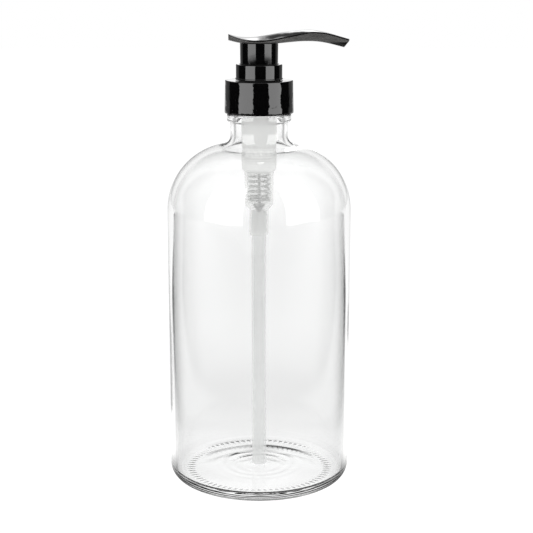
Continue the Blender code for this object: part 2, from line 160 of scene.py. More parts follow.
def black_gloss(name, roughness, wave, seed, satin=None):
    """Polished black polypropylene: flow waves, a faint orange peel and fine handling marks.

    wave scales the height of the waves, and seed moves the pattern so that no two parts share it. The last
    argument gives two heights in metres. Between them the finish turns from polished to a rougher brushed
    finish, and the colour turns to a grey-black that is painted on for the light the side faces catch."""
    material, n, shader = new_material(name)
    shifted = n.add("ShaderNodeVectorMath", operation='ADD')
    n.link(n.place(), shifted.inputs[0])
    shifted.inputs[1].default_value = (seed, seed * 0.7, seed * 0.3)
    moved = shifted.outputs[0]
    dust = n.noise(moved, 900.0, 3.0, 0.6)
    tone = n.mix(n.ramp(dust, 0.35, 0.75), *BLACK_TONES)
    marks = n.noise(moved, 260.0, 4.0, 0.6)
    polish = n.ramp(marks, 0.3, 0.8, roughness * 0.8, roughness * 1.5)
    if satin:
        # above these heights the sides turn rougher and take a grey colour, which is painted light
        share = n.ramp(n.height(), *satin)
        grain = n.noise(n.place((0.12, 1.0, 1.0)), 1500.0, 3.0, 0.6)
        grey = n.mix(n.ramp(grain, 0.3, 0.7), *SIDE_PAINTED_LIGHT_TONES)
        tone = n.mix(share, tone, grey)
        polish = n.mix_value(share, polish, SATIN_ROUGHNESS)
    n.link(tone, shader.inputs["Base Color"])
    n.link(polish, shader.inputs["Roughness"])
    flow = n.noise(moved, 150.0, 1.0, 0.4)
    ripple = n.noise(moved, 520.0, 1.0, 0.5)
    normal = n.bump(flow, 1.0, 0.00006 * wave)
    normal = n.bump(ripple, 1.0, 0.000012 * wave, normal)
    n.link(normal, shader.inputs["Normal"])
    shader.inputs["IOR"].default_value = PLASTIC_IOR
    return material


def mottle(n, shader, tone, darker, cloud, rough, grain):
    """Lets the colour drift between a tone and a darker one, and the roughness about its mean."""
    low = tuple(c * darker for c in tone)
    n.link(n.mix(n.ramp(cloud, 0.3, 0.7), (*low, 1), (*tone, 1)), shader.inputs["Base Color"])
    n.link(n.ramp(grain, 0.3, 0.7, rough * 0.85, rough * 1.2), shader.inputs["Roughness"])


def natural_plastic(name, alpha, tone, rough, denser=None):
    """Cloudy natural plastic: part of the light scatters in the wall and part comes straight through.

    denser gives two heights in metres and an alpha, which the wall takes on between the two heights."""
    material, n, shader = new_material(name)
    at = n.place()
    mottle(n, shader, tone, 0.96, n.noise(at, 120.0, 3.0, 0.55), rough, n.noise(at, 500.0))
    fine = n.noise(n.place((1.0, 1.0, 0.25)), 700.0)
    n.link(n.bump(fine, 0.5, 0.00002), shader.inputs["Normal"])
    shader.inputs["Alpha"].default_value = alpha
    if denser:
        low, high, dense_alpha = denser
        n.link(n.ramp(n.height(), low, high, alpha, dense_alpha), shader.inputs["Alpha"])
    shader.inputs["IOR"].default_value = PLASTIC_IOR
    shader.inputs["Specular IOR Level"].default_value = NATURAL_SPECULAR
    return material


def solid_plastic(name, tone, rough=0.38):
    """Opaque moulded plastic with a slightly uneven tone and gloss."""
    material, n, shader = new_material(name)
    at = n.place()
    mottle(n, shader, tone, 0.93, n.noise(at, 300.0, 3.0), rough, n.noise(at, 650.0))
    n.link(n.bump(n.noise(at, 900.0), 0.4, 0.00002), shader.inputs["Normal"])
    return material


def foam_liner():
    """Foamed sealing disc: small closed cells, with painted shade that makes the hollows between them darker.
    """
    material, n, shader = new_material("foam_liner")
    cells = n.add("ShaderNodeTexVoronoi")
    n.link(n.place(), cells.inputs["Vector"])
    cells.inputs["Scale"].default_value = 2600.0
    cell_height_and_shade = n.ramp(cells.outputs["Distance"], 0.0, 0.6)
    # the same cell pattern drives the bump and the painted shade between the cells
    n.link(n.mix(cell_height_and_shade, *FOAM_AND_PAINTED_SHADE_TONES), shader.inputs["Base Color"])
    n.link(n.bump(cell_height_and_shade, 0.6, 0.00008), shader.inputs["Normal"])
    shader.inputs["Roughness"].default_value = FOAM_ROUGHNESS
    return material


def drawn_steel():
    """Bright spring wire with fine drawing streaks."""
    material, n, shader = new_material("drawn_steel")
    streaks = n.noise(n.place((1.0, 1.0, 6.0)), 900.0, 3.0, 0.6)
    n.link(n.mix(n.ramp(streaks, 0.3, 0.7), *STEEL_TONES), shader.inputs["Base Color"])
    n.link(n.ramp(streaks, 0.3, 0.7, 0.22, 0.40), shader.inputs["Roughness"])
    shader.inputs["Metallic"].default_value = 1.0
    return material


def clear_glass():
    """Soda-lime container glass: pressed and blown, so its surface waves a little."""
    material, n, shader = new_material("clear_glass")
    wave = n.noise(n.place((1.0, 1.0, 0.45)), 45.0, 1.5, 0.4)
    fine = n.noise(n.place((1.0, 1.0, 0.3)), 260.0, 1.0, 0.4)
    normal = n.bump(wave, 1.0, 0.00012)
    normal = n.bump(fine, 1.0, 0.000004, normal)
    n.link(normal, shader.inputs["Normal"])
    haze = n.noise(n.place(), 30.0)
    n.link(n.mix(haze, *GLASS_TONES), shader.inputs["Base Color"])
    shader.inputs["Roughness"].default_value = 0.0
    shader.inputs["IOR"].default_value = GLASS_IOR
    shader.inputs["Transmission Weight"].default_value = 1.0
    return material


# ---------------------------------------------------------------- mesh helpers

def arc(centre, radius, start, end, steps):
    """Points on an arc between two angles in degrees, both ends among them."""
    points = []
    for i in range(steps + 1):
        a = radians(start + (end - start) * i / steps)
        points.append((centre[0] + radius * cos(a), centre[1] + radius * sin(a)))
    return points


def line(a, b, steps):
    """Points on a straight line, without its two ends."""
    return [(a[0] + (b[0] - a[0]) * i / steps, a[1] + (b[1] - a[1]) * i / steps) for i in range(1, steps)]


def round_corners(points, radius, steps=4):
    """Rounds every corner of a closed (r, z) outline by the radius given with it, or by `radius`."""
    out = []
    count = len(points)
    for i in range(count):
        p = points[i]
        here = Vector(p[:2])
        r = p[2] if len(p) > 2 else radius
        before = Vector(points[i - 1][:2]) - here
        after = Vector(points[(i + 1) % count][:2]) - here
        if r <= 0.0 or before.length < 1e-6 or after.length < 1e-6:
            out.append((here.x, here.y))
            continue
        half = before.angle(after) / 2.0
        if half > radians(88.0):
            out.append((here.x, here.y))
            continue
        cut = min(r / np.tan(half), before.length * 0.45, after.length * 0.45)
        r = cut * np.tan(half)
        a = here + before.normalized() * cut
        b = here + after.normalized() * cut
        centre = here + (before.normalized() + after.normalized()).normalized() * (r / sin(half))
        for k in range(steps + 1):
            t = k / steps
            m = a.lerp(b, t) - centre
            q = centre + m.normalized() * r
            out.append((q.x, q.y))
    return out


def turned(name, outline, segments, relief=None, smooth=50.0):
    """Revolves a closed (r, z) outline in millimetres about Z.

    relief(r, z, angles) may move the points of one ring; smooth is the angle in degrees above which an edge
    stays sharp."""
    count = len(outline)
    angles = np.arange(segments) * TAU / segments
    verts, starts = [], []
    for r, z in outline:
        starts.append(len(verts))
        if r < 1e-9:
            verts.append((0.0, 0.0, z * MM))
            continue
        rr, zz = np.full(segments, r), np.full(segments, z)
        if relief:
            rr, zz = relief(rr, zz, angles)
        verts += list(zip(rr * np.cos(angles) * MM, rr * np.sin(angles) * MM, zz * MM))
    faces = []
    for k in range(count):
        a, b = k, (k + 1) % count
        pole_a, pole_b = outline[a][0] < 1e-9, outline[b][0] < 1e-9
        if pole_a and pole_b:
            continue
        for i in range(segments):
            j = (i + 1) % segments
            if pole_a:
                faces.append((starts[a], starts[b] + i, starts[b] + j))
            elif pole_b:
                faces.append((starts[a] + i, starts[a] + j, starts[b]))
            else:
                faces.append((starts[a] + i, starts[a] + j, starts[b] + j, starts[b] + i))
    return mesh_object(name, verts, faces, smooth)


def mesh_object(name, verts, faces, smooth=50.0):
    """A smooth-shaded object in the scene, with its faces turned outwards."""
    mesh = bpy.data.meshes.new(name)
    mesh.from_pydata(verts, [], faces)
    bm = bmesh.new()
    bm.from_mesh(mesh)
    bmesh.ops.recalc_face_normals(bm, faces=bm.faces)
    bm.to_mesh(mesh)
    bm.free()
    mesh.shade_smooth()
    mesh.set_sharp_from_angle(angle=radians(smooth))
    obj = bpy.data.objects.new(name, mesh)
    bpy.context.scene.collection.objects.link(obj)
    return obj


# ---------------------------------------------------------------- bottle

# millimetres from here on: radii, heights, and centres of arcs as (radius, height)
BODY_R, HEEL_R, SIDE_TOP, WALL = 47.35, 6.7, 144.1, 2.85
SHOULDER_C, SHOULDER_R = (13.5, 144.1), 33.85
NECK_C, NECK_R, BORE_R = (19.6, 182.5), 14.6, 12.0
BEAD_R, BEAD_ROUND, BEAD_LOW, BEAD_HIGH = 16.4, 0.9, 190.6, 192.8
FINISH_R, CREST_R, RIM_Z, RIM_ROUND, BORE_ROUND = 14.85, 16.05, 207.0, 0.8, 0.6
# the base: its shallow dome, the glass's inner corner and the floor's height at the corner and in the middle
DOME_R, DOME_RISE, INNER_ROUND, FLOOR_EDGE, FLOOR_MIDDLE = 34.0, 0.8, 2.2, 5.0, 4.0
# the ring of short ribs that the bottle stands on
RIBS, RIB_LOW_R, RIB_HIGH_R, RIB_HEIGHT = 76.0, 34.4, 39.2, 0.42
# the soft rings in the floor: radius of the strongest, how far they reach from it, and their height
RING_R, RING_WIDTH, RING_HEIGHT = 15.5, 6.0, 0.10
# the screw thread: pitch, turns, height of its lower end, and its width at the crest and at the root
PITCH, TURNS, THREAD_Z, CREST_W, ROOT_W = 4.233, 1.5, 197.6, 1.1, 2.3
THREAD_ROWS = 60
FADE = radians(20.0)


def thread_height(z, angles, centre_z):
    """Height of the right-hand thread, 0 at its root and 1 on its crest, with a rounded section."""
    best = np.zeros_like(angles)
    for turn in range(int(TURNS) + 1):
        along = angles + TAU * turn
        off = np.abs(z - (centre_z + PITCH * along / TAU))
        flank = np.clip((ROOT_W / 2.0 - off) / (ROOT_W / 2.0 - CREST_W / 2.0), 0.0, 1.0)
        flank = flank * flank * (3.0 - 2.0 * flank)
        fade = np.clip(np.minimum(along, TAU * TURNS - along) / FADE, 0.0, 1.0)
        best = np.maximum(best, flank * fade)
    return best


def bottle_outline():
    """Outer wall from the middle of the base up to the rim, then the inner wall back down."""
    inner_r = BODY_R - WALL
    tangent = degrees(atan2(NECK_C[1] - SHOULDER_C[1], NECK_C[0] - SHOULDER_C[0]))
    out = [(DOME_R * i / 20, DOME_RISE * (1.0 - (i / 20) ** 2)) for i in range(21)]
    out += line((DOME_R, 0.0), (BODY_R - HEEL_R, 0.0), 12)
    out += arc((BODY_R - HEEL_R, HEEL_R), HEEL_R, -90.0, 0.0, 18)
    out += line((BODY_R, HEEL_R), (BODY_R, SIDE_TOP), 24)
    out += arc(SHOULDER_C, SHOULDER_R, 0.0, tangent, 40)
    out += arc(NECK_C, NECK_C[0] - NECK_R, 180.0 + tangent, 180.0, 12)[1:]
    out += arc((NECK_R + 0.6, 189.1), 0.6, 180.0, 90.0, 3)
    out += arc((BEAD_R - BEAD_ROUND, BEAD_LOW), BEAD_ROUND, -90.0, 0.0, 6)
    out += arc((BEAD_R - BEAD_ROUND, BEAD_HIGH), BEAD_ROUND, 0.0, 90.0, 6)
    out += [(FINISH_R + 0.2, 193.8), (FINISH_R, 194.1)]
    low, high = THREAD_Z - ROOT_W / 2.0 - 0.1, THREAD_Z + PITCH * TURNS + ROOT_W / 2.0 + 0.1
    out += [(FINISH_R, low + (high - low) * i / THREAD_ROWS) for i in range(THREAD_ROWS + 1)]
    out += arc((FINISH_R - RIM_ROUND, RIM_Z - RIM_ROUND), RIM_ROUND, 0.0, 90.0, 5)
    out += arc((BORE_R + BORE_ROUND, RIM_Z - BORE_ROUND), BORE_ROUND, 90.0, 180.0, 5)
    out += line((BORE_R, RIM_Z - BORE_ROUND), (BORE_R, NECK_C[1]), 6)
    out += arc(NECK_C, NECK_C[0] - BORE_R, 180.0, 180.0 + tangent, 12)
    out += arc(SHOULDER_C, SHOULDER_R - WALL, tangent, 0.0, 36)[1:]
    out += line((inner_r, SIDE_TOP), (inner_r, FLOOR_EDGE + INNER_ROUND), 24)
    out += arc((inner_r - INNER_ROUND, FLOOR_EDGE + INNER_ROUND), INNER_ROUND, 0.0, -90.0, 12)
    out += line((inner_r - INNER_ROUND, FLOOR_EDGE), (0.0, FLOOR_MIDDLE), 42)
    return out + [(0.0, FLOOR_MIDDLE)]


def bottle_relief(r, z, angles):
    """Thread, the row of short ribs on the bearing ring, and the waves left by blowing."""
    radius, height = r[0], z[0]
    if abs(radius - FINISH_R) < 1e-6 and 194.5 < height < RIM_Z - RIM_ROUND:
        r = r + (CREST_R - FINISH_R) * thread_height(height, angles, THREAD_Z)
    if RIB_LOW_R < radius < RIB_HIGH_R and height < 0.01:
        along = sin(pi * (radius - RIB_LOW_R) / (RIB_HIGH_R - RIB_LOW_R))
        rib = np.clip(np.cos(angles * RIBS), 0.0, 1.0) ** 0.7
        z = z + RIB_HEIGHT * along * rib
    inner_wall = abs(radius - (BODY_R - WALL)) < 0.01 and 8.5 < height < SIDE_TOP + 0.1
    if inner_wall:
        oval = 0.10 * np.sin(2.0 * angles + 0.9) * sin(pi * height / SIDE_TOP)
        r = r + oval + 0.05 * np.sin(5.0 * angles + height * 0.04)
    inner_floor = 3.9 < height < FLOOR_EDGE + 0.2 and radius < 40.4
    if inner_floor:
        off = radius - RING_R
        ring = RING_HEIGHT * cos(off * 1.15) * exp(-(off / RING_WIDTH) ** 2)
        z = z + ring + 0.05 * np.cos(3.0 * angles + radius * 0.3) * min(1.0, radius / 8.0)
    return r, z


bottle = turned("bottle_glass", bottle_outline(), 304, bottle_relief, smooth=60.0)
wear_material(bottle, clear_glass())
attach(bottle, "bottle_body")
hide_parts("bottle")


# ---------------------------------------------------------------- collar and chaplet

COLLAR_BORE, COLLAR_CREST = 16.35, 15.2
COLLAR_FOOT_R, COLLAR_TOP_R, COLLAR_LOW, COLLAR_HIGH = 17.64, 17.3, 194.1, 210.65
COLLAR_ROUND, WEB_R, WEB_THICK = 0.55, 10.8, 0.95
CHAPLET_FOOT, CHAPLET_TOP, CHAPLET_R = 210.95, 218.6, 11.8
STEM_HOLE_R = 4.2


def make_collar():
    """Closure ring with an inner thread, and a web on top that holds the barrel's flange down."""
    low, high = COLLAR_LOW, COLLAR_HIGH
    corner = COLLAR_TOP_R - COLLAR_ROUND
    rib = THREAD_Z + PITCH / 2.0
    rib_low, rib_high = rib - ROOT_W / 2.0, rib + PITCH * TURNS + ROOT_W / 2.0
    out = [(COLLAR_BORE, low + 0.2), (COLLAR_BORE + 0.2, low)]
    out += arc((COLLAR_FOOT_R - 0.3, low + 0.3), 0.3, -90.0, 0.0, 4)
    out += line((COLLAR_FOOT_R, low + 0.3), (COLLAR_TOP_R, high - COLLAR_ROUND), 12)
    out += arc((corner, high - COLLAR_ROUND), COLLAR_ROUND, 0.0, 90.0, 7)
    out += line((corner, high), (WEB_R + 0.2, high), 4)
    out += [(WEB_R + 0.1, high), (WEB_R, high - 0.1)]
    out += [(WEB_R, high - WEB_THICK), (COLLAR_BORE, high - WEB_THICK)]
    out += [(COLLAR_BORE, rib_high - (rib_high - rib_low) * i / THREAD_ROWS)
            for i in range(THREAD_ROWS + 1)]

    def relief(r, z, angles):
        if abs(r[0] - COLLAR_BORE) < 1e-6 and rib_low - 0.01 <= z[0] <= rib_high + 0.01:
            r = r - (COLLAR_BORE - COLLAR_CREST) * thread_height(z[0], angles, rib)
        return r, z

    obj = turned("collar_ring", out, 180, relief, smooth=45.0)
    wear_material(obj, black_gloss("black_collar", 0.04, 5.0, 0.31))
    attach(obj, "closure")
    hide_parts("collar")


def make_chaplet():
    """Lock ring: a cup that the head's skirt goes down into, with a guide bore for the stem."""
    foot = CHAPLET_FOOT
    out = round_corners([
        (STEM_HOLE_R, 199.5, 0.1), (5.4, 199.5, 0.1), (5.4, 205.2, 0.2), (9.7, 205.2, 0.2), (9.7, 198.2, 0.1),
        (10.5, 198.2, 0.1), (10.5, foot, 0.0), (12.1, foot, 0.15), (12.1, foot + 0.62, 0.2),
        (CHAPLET_R, foot + 0.8, 0.1), (CHAPLET_R, CHAPLET_TOP, 0.45), (9.97, CHAPLET_TOP, 0.35),
        (9.97, 206.3, 0.2), (STEM_HOLE_R, 206.3, 0.15)], 0.1, 5)
    obj = turned("chaplet_ring", out, 144, smooth=45.0)
    wear_material(obj, black_gloss("black_chaplet", 0.05, 0.9, 1.7))
    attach(obj, "pump_barrel")
    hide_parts("chaplet")


make_collar()
make_chaplet()


# ---------------------------------------------------------------- barrel, tube and spring

TUBE_BORE, TUBE_R, TUBE_LOW, TUBE_HIGH = 2.75, 3.8, 5.3, 142.7
SPRING_Z, SPRING_TOP, SPRING_R, WIRE_R, TURNS_ALL = 148.1, 174.2, 5.1, 0.5, 11
BARREL_TONE, TUBE_TONE, INNER_TONE = (0.84, 0.843, 0.833), (0.80, 0.805, 0.80), (0.88, 0.883, 0.875)
# the barrel's wide upper part lets less light through: the heights in metres between which it turns
# cloudier, and its alpha above them
BARREL_DENSER = (0.162, 0.1665, 0.92)


def make_housing():
    """Barrel in three steps, with a cup and a flange at the top and a nipple for the tube at the bottom."""
    out = round_corners([
        (4.1, 130.8, 0.1), (5.0, 130.8, 0.25), (5.0, 144.5, 0.25), (5.6, 144.65, 0.2), (7.3, 146.6, 1.3),
        (7.45, 163.8, 0.25), (8.85, 165.6, 0.3), (9.08, 193.0, 0.5), (11.7, 197.0, 0.4), (11.7, 208.5, 0.1),
        (14.5, 208.5, 0.1), (14.5, 209.4, 0.1), (10.8, 209.4, 0.15), (10.8, 197.4, 0.3), (7.5, 193.6, 0.5),
        (7.5, 166.3, 0.2), (6.15, 164.5, 0.2), (6.15, 147.8, 0.3), (4.4, 147.8, 0.2), (2.4, 144.6, 0.3),
        (2.4, 143.0, 0.1), (4.1, 143.0, 0.1)], 0.1, 4)
    obj = turned("pump_barrel_shell", out, 128, smooth=40.0)
    wear_material(obj, natural_plastic("natural_polypropylene", 0.30, BARREL_TONE, 0.30, BARREL_DENSER))
    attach(obj, "pump_barrel")
    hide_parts("housing")


def make_tube():
    """Straight suction tube that stops just short of the bottle's floor."""
    out = round_corners([
        (TUBE_BORE, TUBE_LOW, 0.15), (TUBE_R, TUBE_LOW, 0.15), (TUBE_R, TUBE_HIGH, 0.1),
        (TUBE_BORE, TUBE_HIGH, 0.1)], 0.1, 3)
    obj = turned("suction_tube", out, 96, smooth=40.0)
    wear_material(obj, natural_plastic("natural_polyethylene", 0.40, TUBE_TONE, 0.28))
    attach(obj, "pump_barrel")
    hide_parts("dip_tube")


def make_spring():
    """A helix with one flattened turn at each end, swept with a round wire."""
    low, high = SPRING_Z + WIRE_R, SPRING_TOP - WIRE_R
    closed = 2.0 * WIRE_R + 0.05
    open_rise = (high - low - 2.0 * closed) / (TURNS_ALL - 2)
    a_turn, sides = 40, 10
    count = TURNS_ALL * a_turn + 1

    def height(t):
        first = closed * min(t, 1.0)
        middle = open_rise * min(max(t - 1.0, 0.0), TURNS_ALL - 2)
        last = closed * max(t - (TURNS_ALL - 1), 0.0)
        return low + first + middle + last

    verts = []
    for i in range(count):
        t = i / a_turn
        a = TAU * t
        before, after = max(t - 0.02, 0.0), min(t + 0.02, TURNS_ALL)
        rise = (height(after) - height(before)) / (TAU * (after - before))
        along = Vector((-SPRING_R * sin(a), SPRING_R * cos(a), rise)).normalized()
        out = Vector((cos(a), sin(a), 0.0))
        up = along.cross(out) * -1.0
        centre = Vector((SPRING_R * cos(a), SPRING_R * sin(a), height(t)))
        for k in range(sides):
            b = TAU * k / sides
            p = centre + (out * cos(b) + up * sin(b)) * WIRE_R
            verts.append(tuple(p * MM))
    faces = []
    for i in range(count - 1):
        for k in range(sides):
            j = (k + 1) % sides
            faces.append((i * sides + k, i * sides + j, (i + 1) * sides + j, (i + 1) * sides + k))
    faces.append(tuple(range(sides)))
    faces.append(tuple(reversed(range((count - 1) * sides, count * sides))))
    obj = mesh_object("spring_coil", verts, faces, 60.0)
    wear_material(obj, drawn_steel())
    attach(obj, "pump_barrel")
    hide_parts("main_spring")
    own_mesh(obj)


make_housing()
make_tube()
make_spring()

wear_material(NODES["inlet_poppet"], solid_plastic("grey_acetal", (0.24, 0.24, 0.245), 0.35))
wear_material(NODES["piston_rod"], solid_plastic("white_acetal", (0.90, 0.90, 0.88)))
wear_material(NODES["piston"], natural_plastic("piston_plastic", 0.30, INNER_TONE, 0.40))
wear_material(NODES["stem"], natural_plastic("stem_plastic", 0.22, INNER_TONE, 0.35))
wear_material(NODES["stem_seal"], natural_plastic("wiper_plastic", 0.30, INNER_TONE, 0.45))
wear_material(NODES["gasket"], foam_liner())


# ---------------------------------------------------------------- pump head

# the saddle, as curves along the spout's length: (distance from the pump's axis, height or half width)
TOP_EDGE = [(-15.4, 233.9), (-10.0, 232.1), (-4.0, 231.05), (0.0, 230.9), (6.4, 231.5),
            (15.2, 233.05), (24.7, 234.85), (28.4, 234.93), (34.3, 234.25), (45.3, 231.3)]
UNDERSIDE = [(-15.6, 230.8), (-10.0, 229.6), (-3.0, 228.85), (3.0, 228.85), (9.4, 229.3),
             (20.0, 230.2), (25.0, 230.3), (29.6, 230.05), (34.4, 229.25), (42.6, 227.2)]
HALF_WIDTH = [(-15.6, 6.0), (-15.0, 7.0), (-12.0, 8.2), (-8.0, 9.4), (-3.0, 10.2), (2.0, 10.15),
              (8.0, 9.2), (13.0, 7.9), (19.0, 6.8), (26.0, 6.0), (36.0, 5.2), (45.3, 4.6)]
CROWN = [(-15.4, 0.1), (-10.0, 0.5), (-4.0, 1.2), (3.0, 1.95), (9.5, 2.2), (15.0, 2.0),
         (22.0, 1.3), (28.0, 0.7), (34.0, 0.35), (45.3, 0.15)]
FIRST, LAST, TIP_SLANT, SLANT_FROM = -15.4, 45.3, 2.7, 28.0
# the weld seam below the top edge, and the small steps that break the sharp edges
SEAM_DROP, SEAM_GAP, EDGE_STEP, TOP_STEP = 0.55, 0.12, 0.12, 0.16
SKIRT_TOP, BORE_LOW, BORE_HIGH, BORE_WIDE = 229.9, 223.4, 229.0, 2.9
# the soap channel: half its width, its floor above the underside, and its deep part over the stem
CHANNEL_HALF, CHANNEL_FLOOR, CHANNEL_DEEP, CHANNEL_DEEP_TO = 2.5, 1.2, 228.1, 6.0
# heights in metres between which the spout's sides turn from polished to a rougher finish, and to a grey
# colour painted on for the light the sides catch
SIDE_FINISH_AND_PAINTED_LIGHT_HEIGHTS = (0.2292, 0.2302)


def curve_at(points, x):
    """Smooth curve through the points, level outside them."""
    if x <= points[0][0]:
        return points[0][1]
    if x >= points[-1][0]:
        return points[-1][1]
    k = max(i for i in range(len(points) - 1) if points[i][0] <= x)

    def slope(i):
        a, b = max(0, i - 1), min(len(points) - 1, i + 1)
        return (points[b][1] - points[a][1]) / (points[b][0] - points[a][0])

    (x0, y0), (x1, y1) = points[k], points[k + 1]
    w = x1 - x0
    t = (x - x0) / w
    return ((2 * t ** 3 - 3 * t ** 2 + 1) * y0 + (t ** 3 - 2 * t ** 2 + t) * w * slope(k)
            + (-2 * t ** 3 + 3 * t ** 2) * y1 + (t ** 3 - t ** 2) * w * slope(k + 1))


def slant(x):
    """How far the tip's underside lies behind its top edge."""
    return TIP_SLANT * max(0.0, (x - SLANT_FROM) / (LAST - SLANT_FROM))


def loft(name, sections, smooth=40.0):
    """A closed solid through a row of closed sections with the same number of points."""
    count = len(sections[0])
    verts = [(x * MM, y * MM, z * MM) for section in sections for x, y, z in section]
    faces = []
    for s in range(len(sections) - 1):
        for i in range(count):
            j = (i + 1) % count
            faces.append((s * count + i, s * count + j, (s + 1) * count + j, (s + 1) * count + i))
    faces.append(tuple(range(count)))
    faces.append(tuple(reversed(range((len(sections) - 1) * count, len(sections) * count))))
    return mesh_object(name, verts, faces, smooth)


def body_section(x):
    """Rounded trough below the seam, across the spout."""
    w = curve_at(HALF_WIDTH, x)
    top = curve_at(TOP_EDGE, x) - SEAM_DROP - SEAM_GAP
    under_x = x - slant(x)
    bottom = curve_at(UNDERSIDE, under_x)
    half = [(x, w - EDGE_STEP, top), (x, w, top - EDGE_STEP)]
    for k in range(1, 15):
        a = pi / 2.0 * k / 14
        down = sin(a) ** 0.8
        out = 0.55 + 0.45 * cos(a) ** 0.55 if k < 14 else 0.5
        half.append((x + (under_x - x) * down, w * out, top + (bottom - top) * down))
    return half + [(px, -py, pz) for px, py, pz in reversed(half)]


def cover_section(x):
    """Crowned cap above the seam, across the spout."""
    w = curve_at(HALF_WIDTH, x)
    edge = curve_at(TOP_EDGE, x)
    crown = curve_at(CROWN, x)
    back = x - slant(x) * SEAM_DROP / 4.0
    low = edge - SEAM_DROP
    section = [(back, -w + EDGE_STEP, low), (back, w - EDGE_STEP, low), (back, w, low + EDGE_STEP),
               (x, w, edge - TOP_STEP), (x, w - TOP_STEP, edge)]
    for k in range(1, 24):
        s = 1.0 - 2.0 * k / 24
        section.append((x, (w - TOP_STEP) * s, edge + crown * (1.0 - s * s)))
    return section + [(x, -w + TOP_STEP, edge), (x, -w, edge - TOP_STEP), (back, -w, low + EDGE_STEP)]


def channel_section(x):
    """The soap's way through the head: deep over the stem, then between floor and cover to the tip."""
    edge = curve_at(TOP_EDGE, min(x, LAST))
    crown = curve_at(CROWN, x)
    floor = CHANNEL_DEEP if x < CHANNEL_DEEP_TO else curve_at(UNDERSIDE, x - slant(x)) + CHANNEL_FLOOR
    half = CHANNEL_HALF * min(1.0, curve_at(HALF_WIDTH, x) / 5.2)
    roof = edge - SEAM_DROP - SEAM_GAP / 2.0 + max(0.0, crown - 0.9)
    back = x - slant(x)
    return [(back, -half, floor), (back, half, floor), (x, half, roof), (x, -half, roof)]


def combine(obj, operation, other):
    """Joins the other solid to this one, or cuts it away."""
    modifier = obj.modifiers.new(other.name, 'BOOLEAN')
    modifier.operation = operation
    modifier.solver = 'EXACT'
    modifier.object = other


def bake_modifiers(obj, smooth):
    """Makes the modifiers' result the object's own mesh."""
    graph = bpy.context.evaluated_depsgraph_get()
    mesh = bpy.data.meshes.new_from_object(obj.evaluated_get(graph))
    obj.modifiers.clear()
    obj.data = mesh
    mesh.shade_smooth()
    mesh.set_sharp_from_angle(angle=radians(smooth))


def make_head():
    """Saddle head: skirt, stem socket and spout trough in one, and the cover welded over the trough."""
    stations = [FIRST, FIRST + 0.2, FIRST + 0.6]
    stations += [FIRST + 1.0 + (LAST - 0.3 - FIRST - 1.0) * i / 60 for i in range(61)]
    stations += [LAST]
    skirt = turned("skirt_tool", round_corners([
        (BORE_WIDE, 225.4, 0.0), (STEM_HOLE_R, 225.4, 0.0), (STEM_HOLE_R, 217.0, 0.2), (5.6, 217.0, 0.1),
        (5.6, 226.9, 0.3), (8.4, 226.9, 0.3), (8.4, 217.4, 0.1), (9.67, 217.4, 0.15),
        (9.67, SKIRT_TOP, 0.0), (BORE_WIDE, SKIRT_TOP, 0.0)], 0.1, 4), 144)
    bore = turned("bore_tool", [
        (0.0, BORE_LOW), (BORE_WIDE, BORE_LOW), (BORE_WIDE, BORE_HIGH), (0.0, BORE_HIGH)], 64)
    channel_stations = [-3.5, 0.0, 5.9, 9.0, 12.0] + [14.0 + 2.0 * i for i in range(15)] + [LAST, LAST + 4.0]
    channel = loft("channel_tool", [channel_section(x) for x in channel_stations])
    body = loft("spout_lower", [body_section(x) for x in stations])
    for operation, tool in (('UNION', skirt), ('DIFFERENCE', bore), ('DIFFERENCE', channel)):
        combine(body, operation, tool)
    cover = loft("spout_cover", [cover_section(x) for x in stations])
    combine(cover, 'DIFFERENCE', channel)
    for obj in (body, cover):
        bake_modifiers(obj, 38.0)
    for tool in (skirt, bore, channel):
        bpy.data.objects.remove(tool, do_unlink=True)
    # the spout's sides get a rougher finish and a grey colour painted on for the light they catch
    wear_material(body, black_gloss("black_spout", 0.06, 0.6, 2.9, satin=SIDE_FINISH_AND_PAINTED_LIGHT_HEIGHTS))
    wear_material(cover, black_gloss("black_cover", 0.05, 1.0, 4.3))
    for obj, node in ((body, "actuator_body"), (cover, "actuator_cover")):
        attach(obj, "head")
        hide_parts(node)


make_head()


# ---------------------------------------------------------------- studio

# The object stands on white and in front of white, and the camera, clear glass and matt parts see that plain
# white. Mirrored rays meet a studio with structure: a bright sheet behind the object that widens with the
# distance, a dark room beside it, two tall softboxes beside the camera, and a bright panel over the object.
# Lengths are in metres and angles in degrees. A fade is (from, to): 0 at the first number, 1 at the second.

FLOOR_FRONT, FLOOR_SIDE, FLOOR_BACK, FLOOR_Z = -0.62, 1.0, 3.2, -0.0002
FLOOR_TONE = (0.03, 0.03, 0.03, 1)
WHITE = (1, 1, 1, 1)
# plain white: the floor for the camera, and the room for the camera and for all other rays
FLOOR_WHITE, ROOM_WHITE, ROOM_LIGHT = 1.02, 1.0, 1.12
# a mirrored ray belongs to the first mirror image while its depth is below this, on the floor and in the room
FIRST_ON_FLOOR, FIRST_IN_ROOM = 1.5, 2.5
# the softboxes' mirrored brightness, and where their edges fade, off the camera's direction
SOFTBOX = 4.6
LEFT_INNER, LEFT_OUTER = (-19.5, -21.0), (-72.0, -69.5)
RIGHT_INNER, RIGHT_OUTER = (33.0, 34.5), (81.0, 79.0)
SOFTBOX_TOP, SOFTBOX_FOOT, SOFTBOX_ON_FLOOR = (60.0, 50.0), (-11.5, -7.5), (0.95, 1.45)
# the lamps that stand for the softboxes on matt plastic: inner angle, outer angle, side
LAMPS = {"softbox_left": (20.0, 71.0, -1), "softbox_right": (34.0, 80.0, 1)}
LAMP_RADIANCE, LAMP_DISTANCE, LAMP_HEIGHT = 0.25, 0.95, 1.25
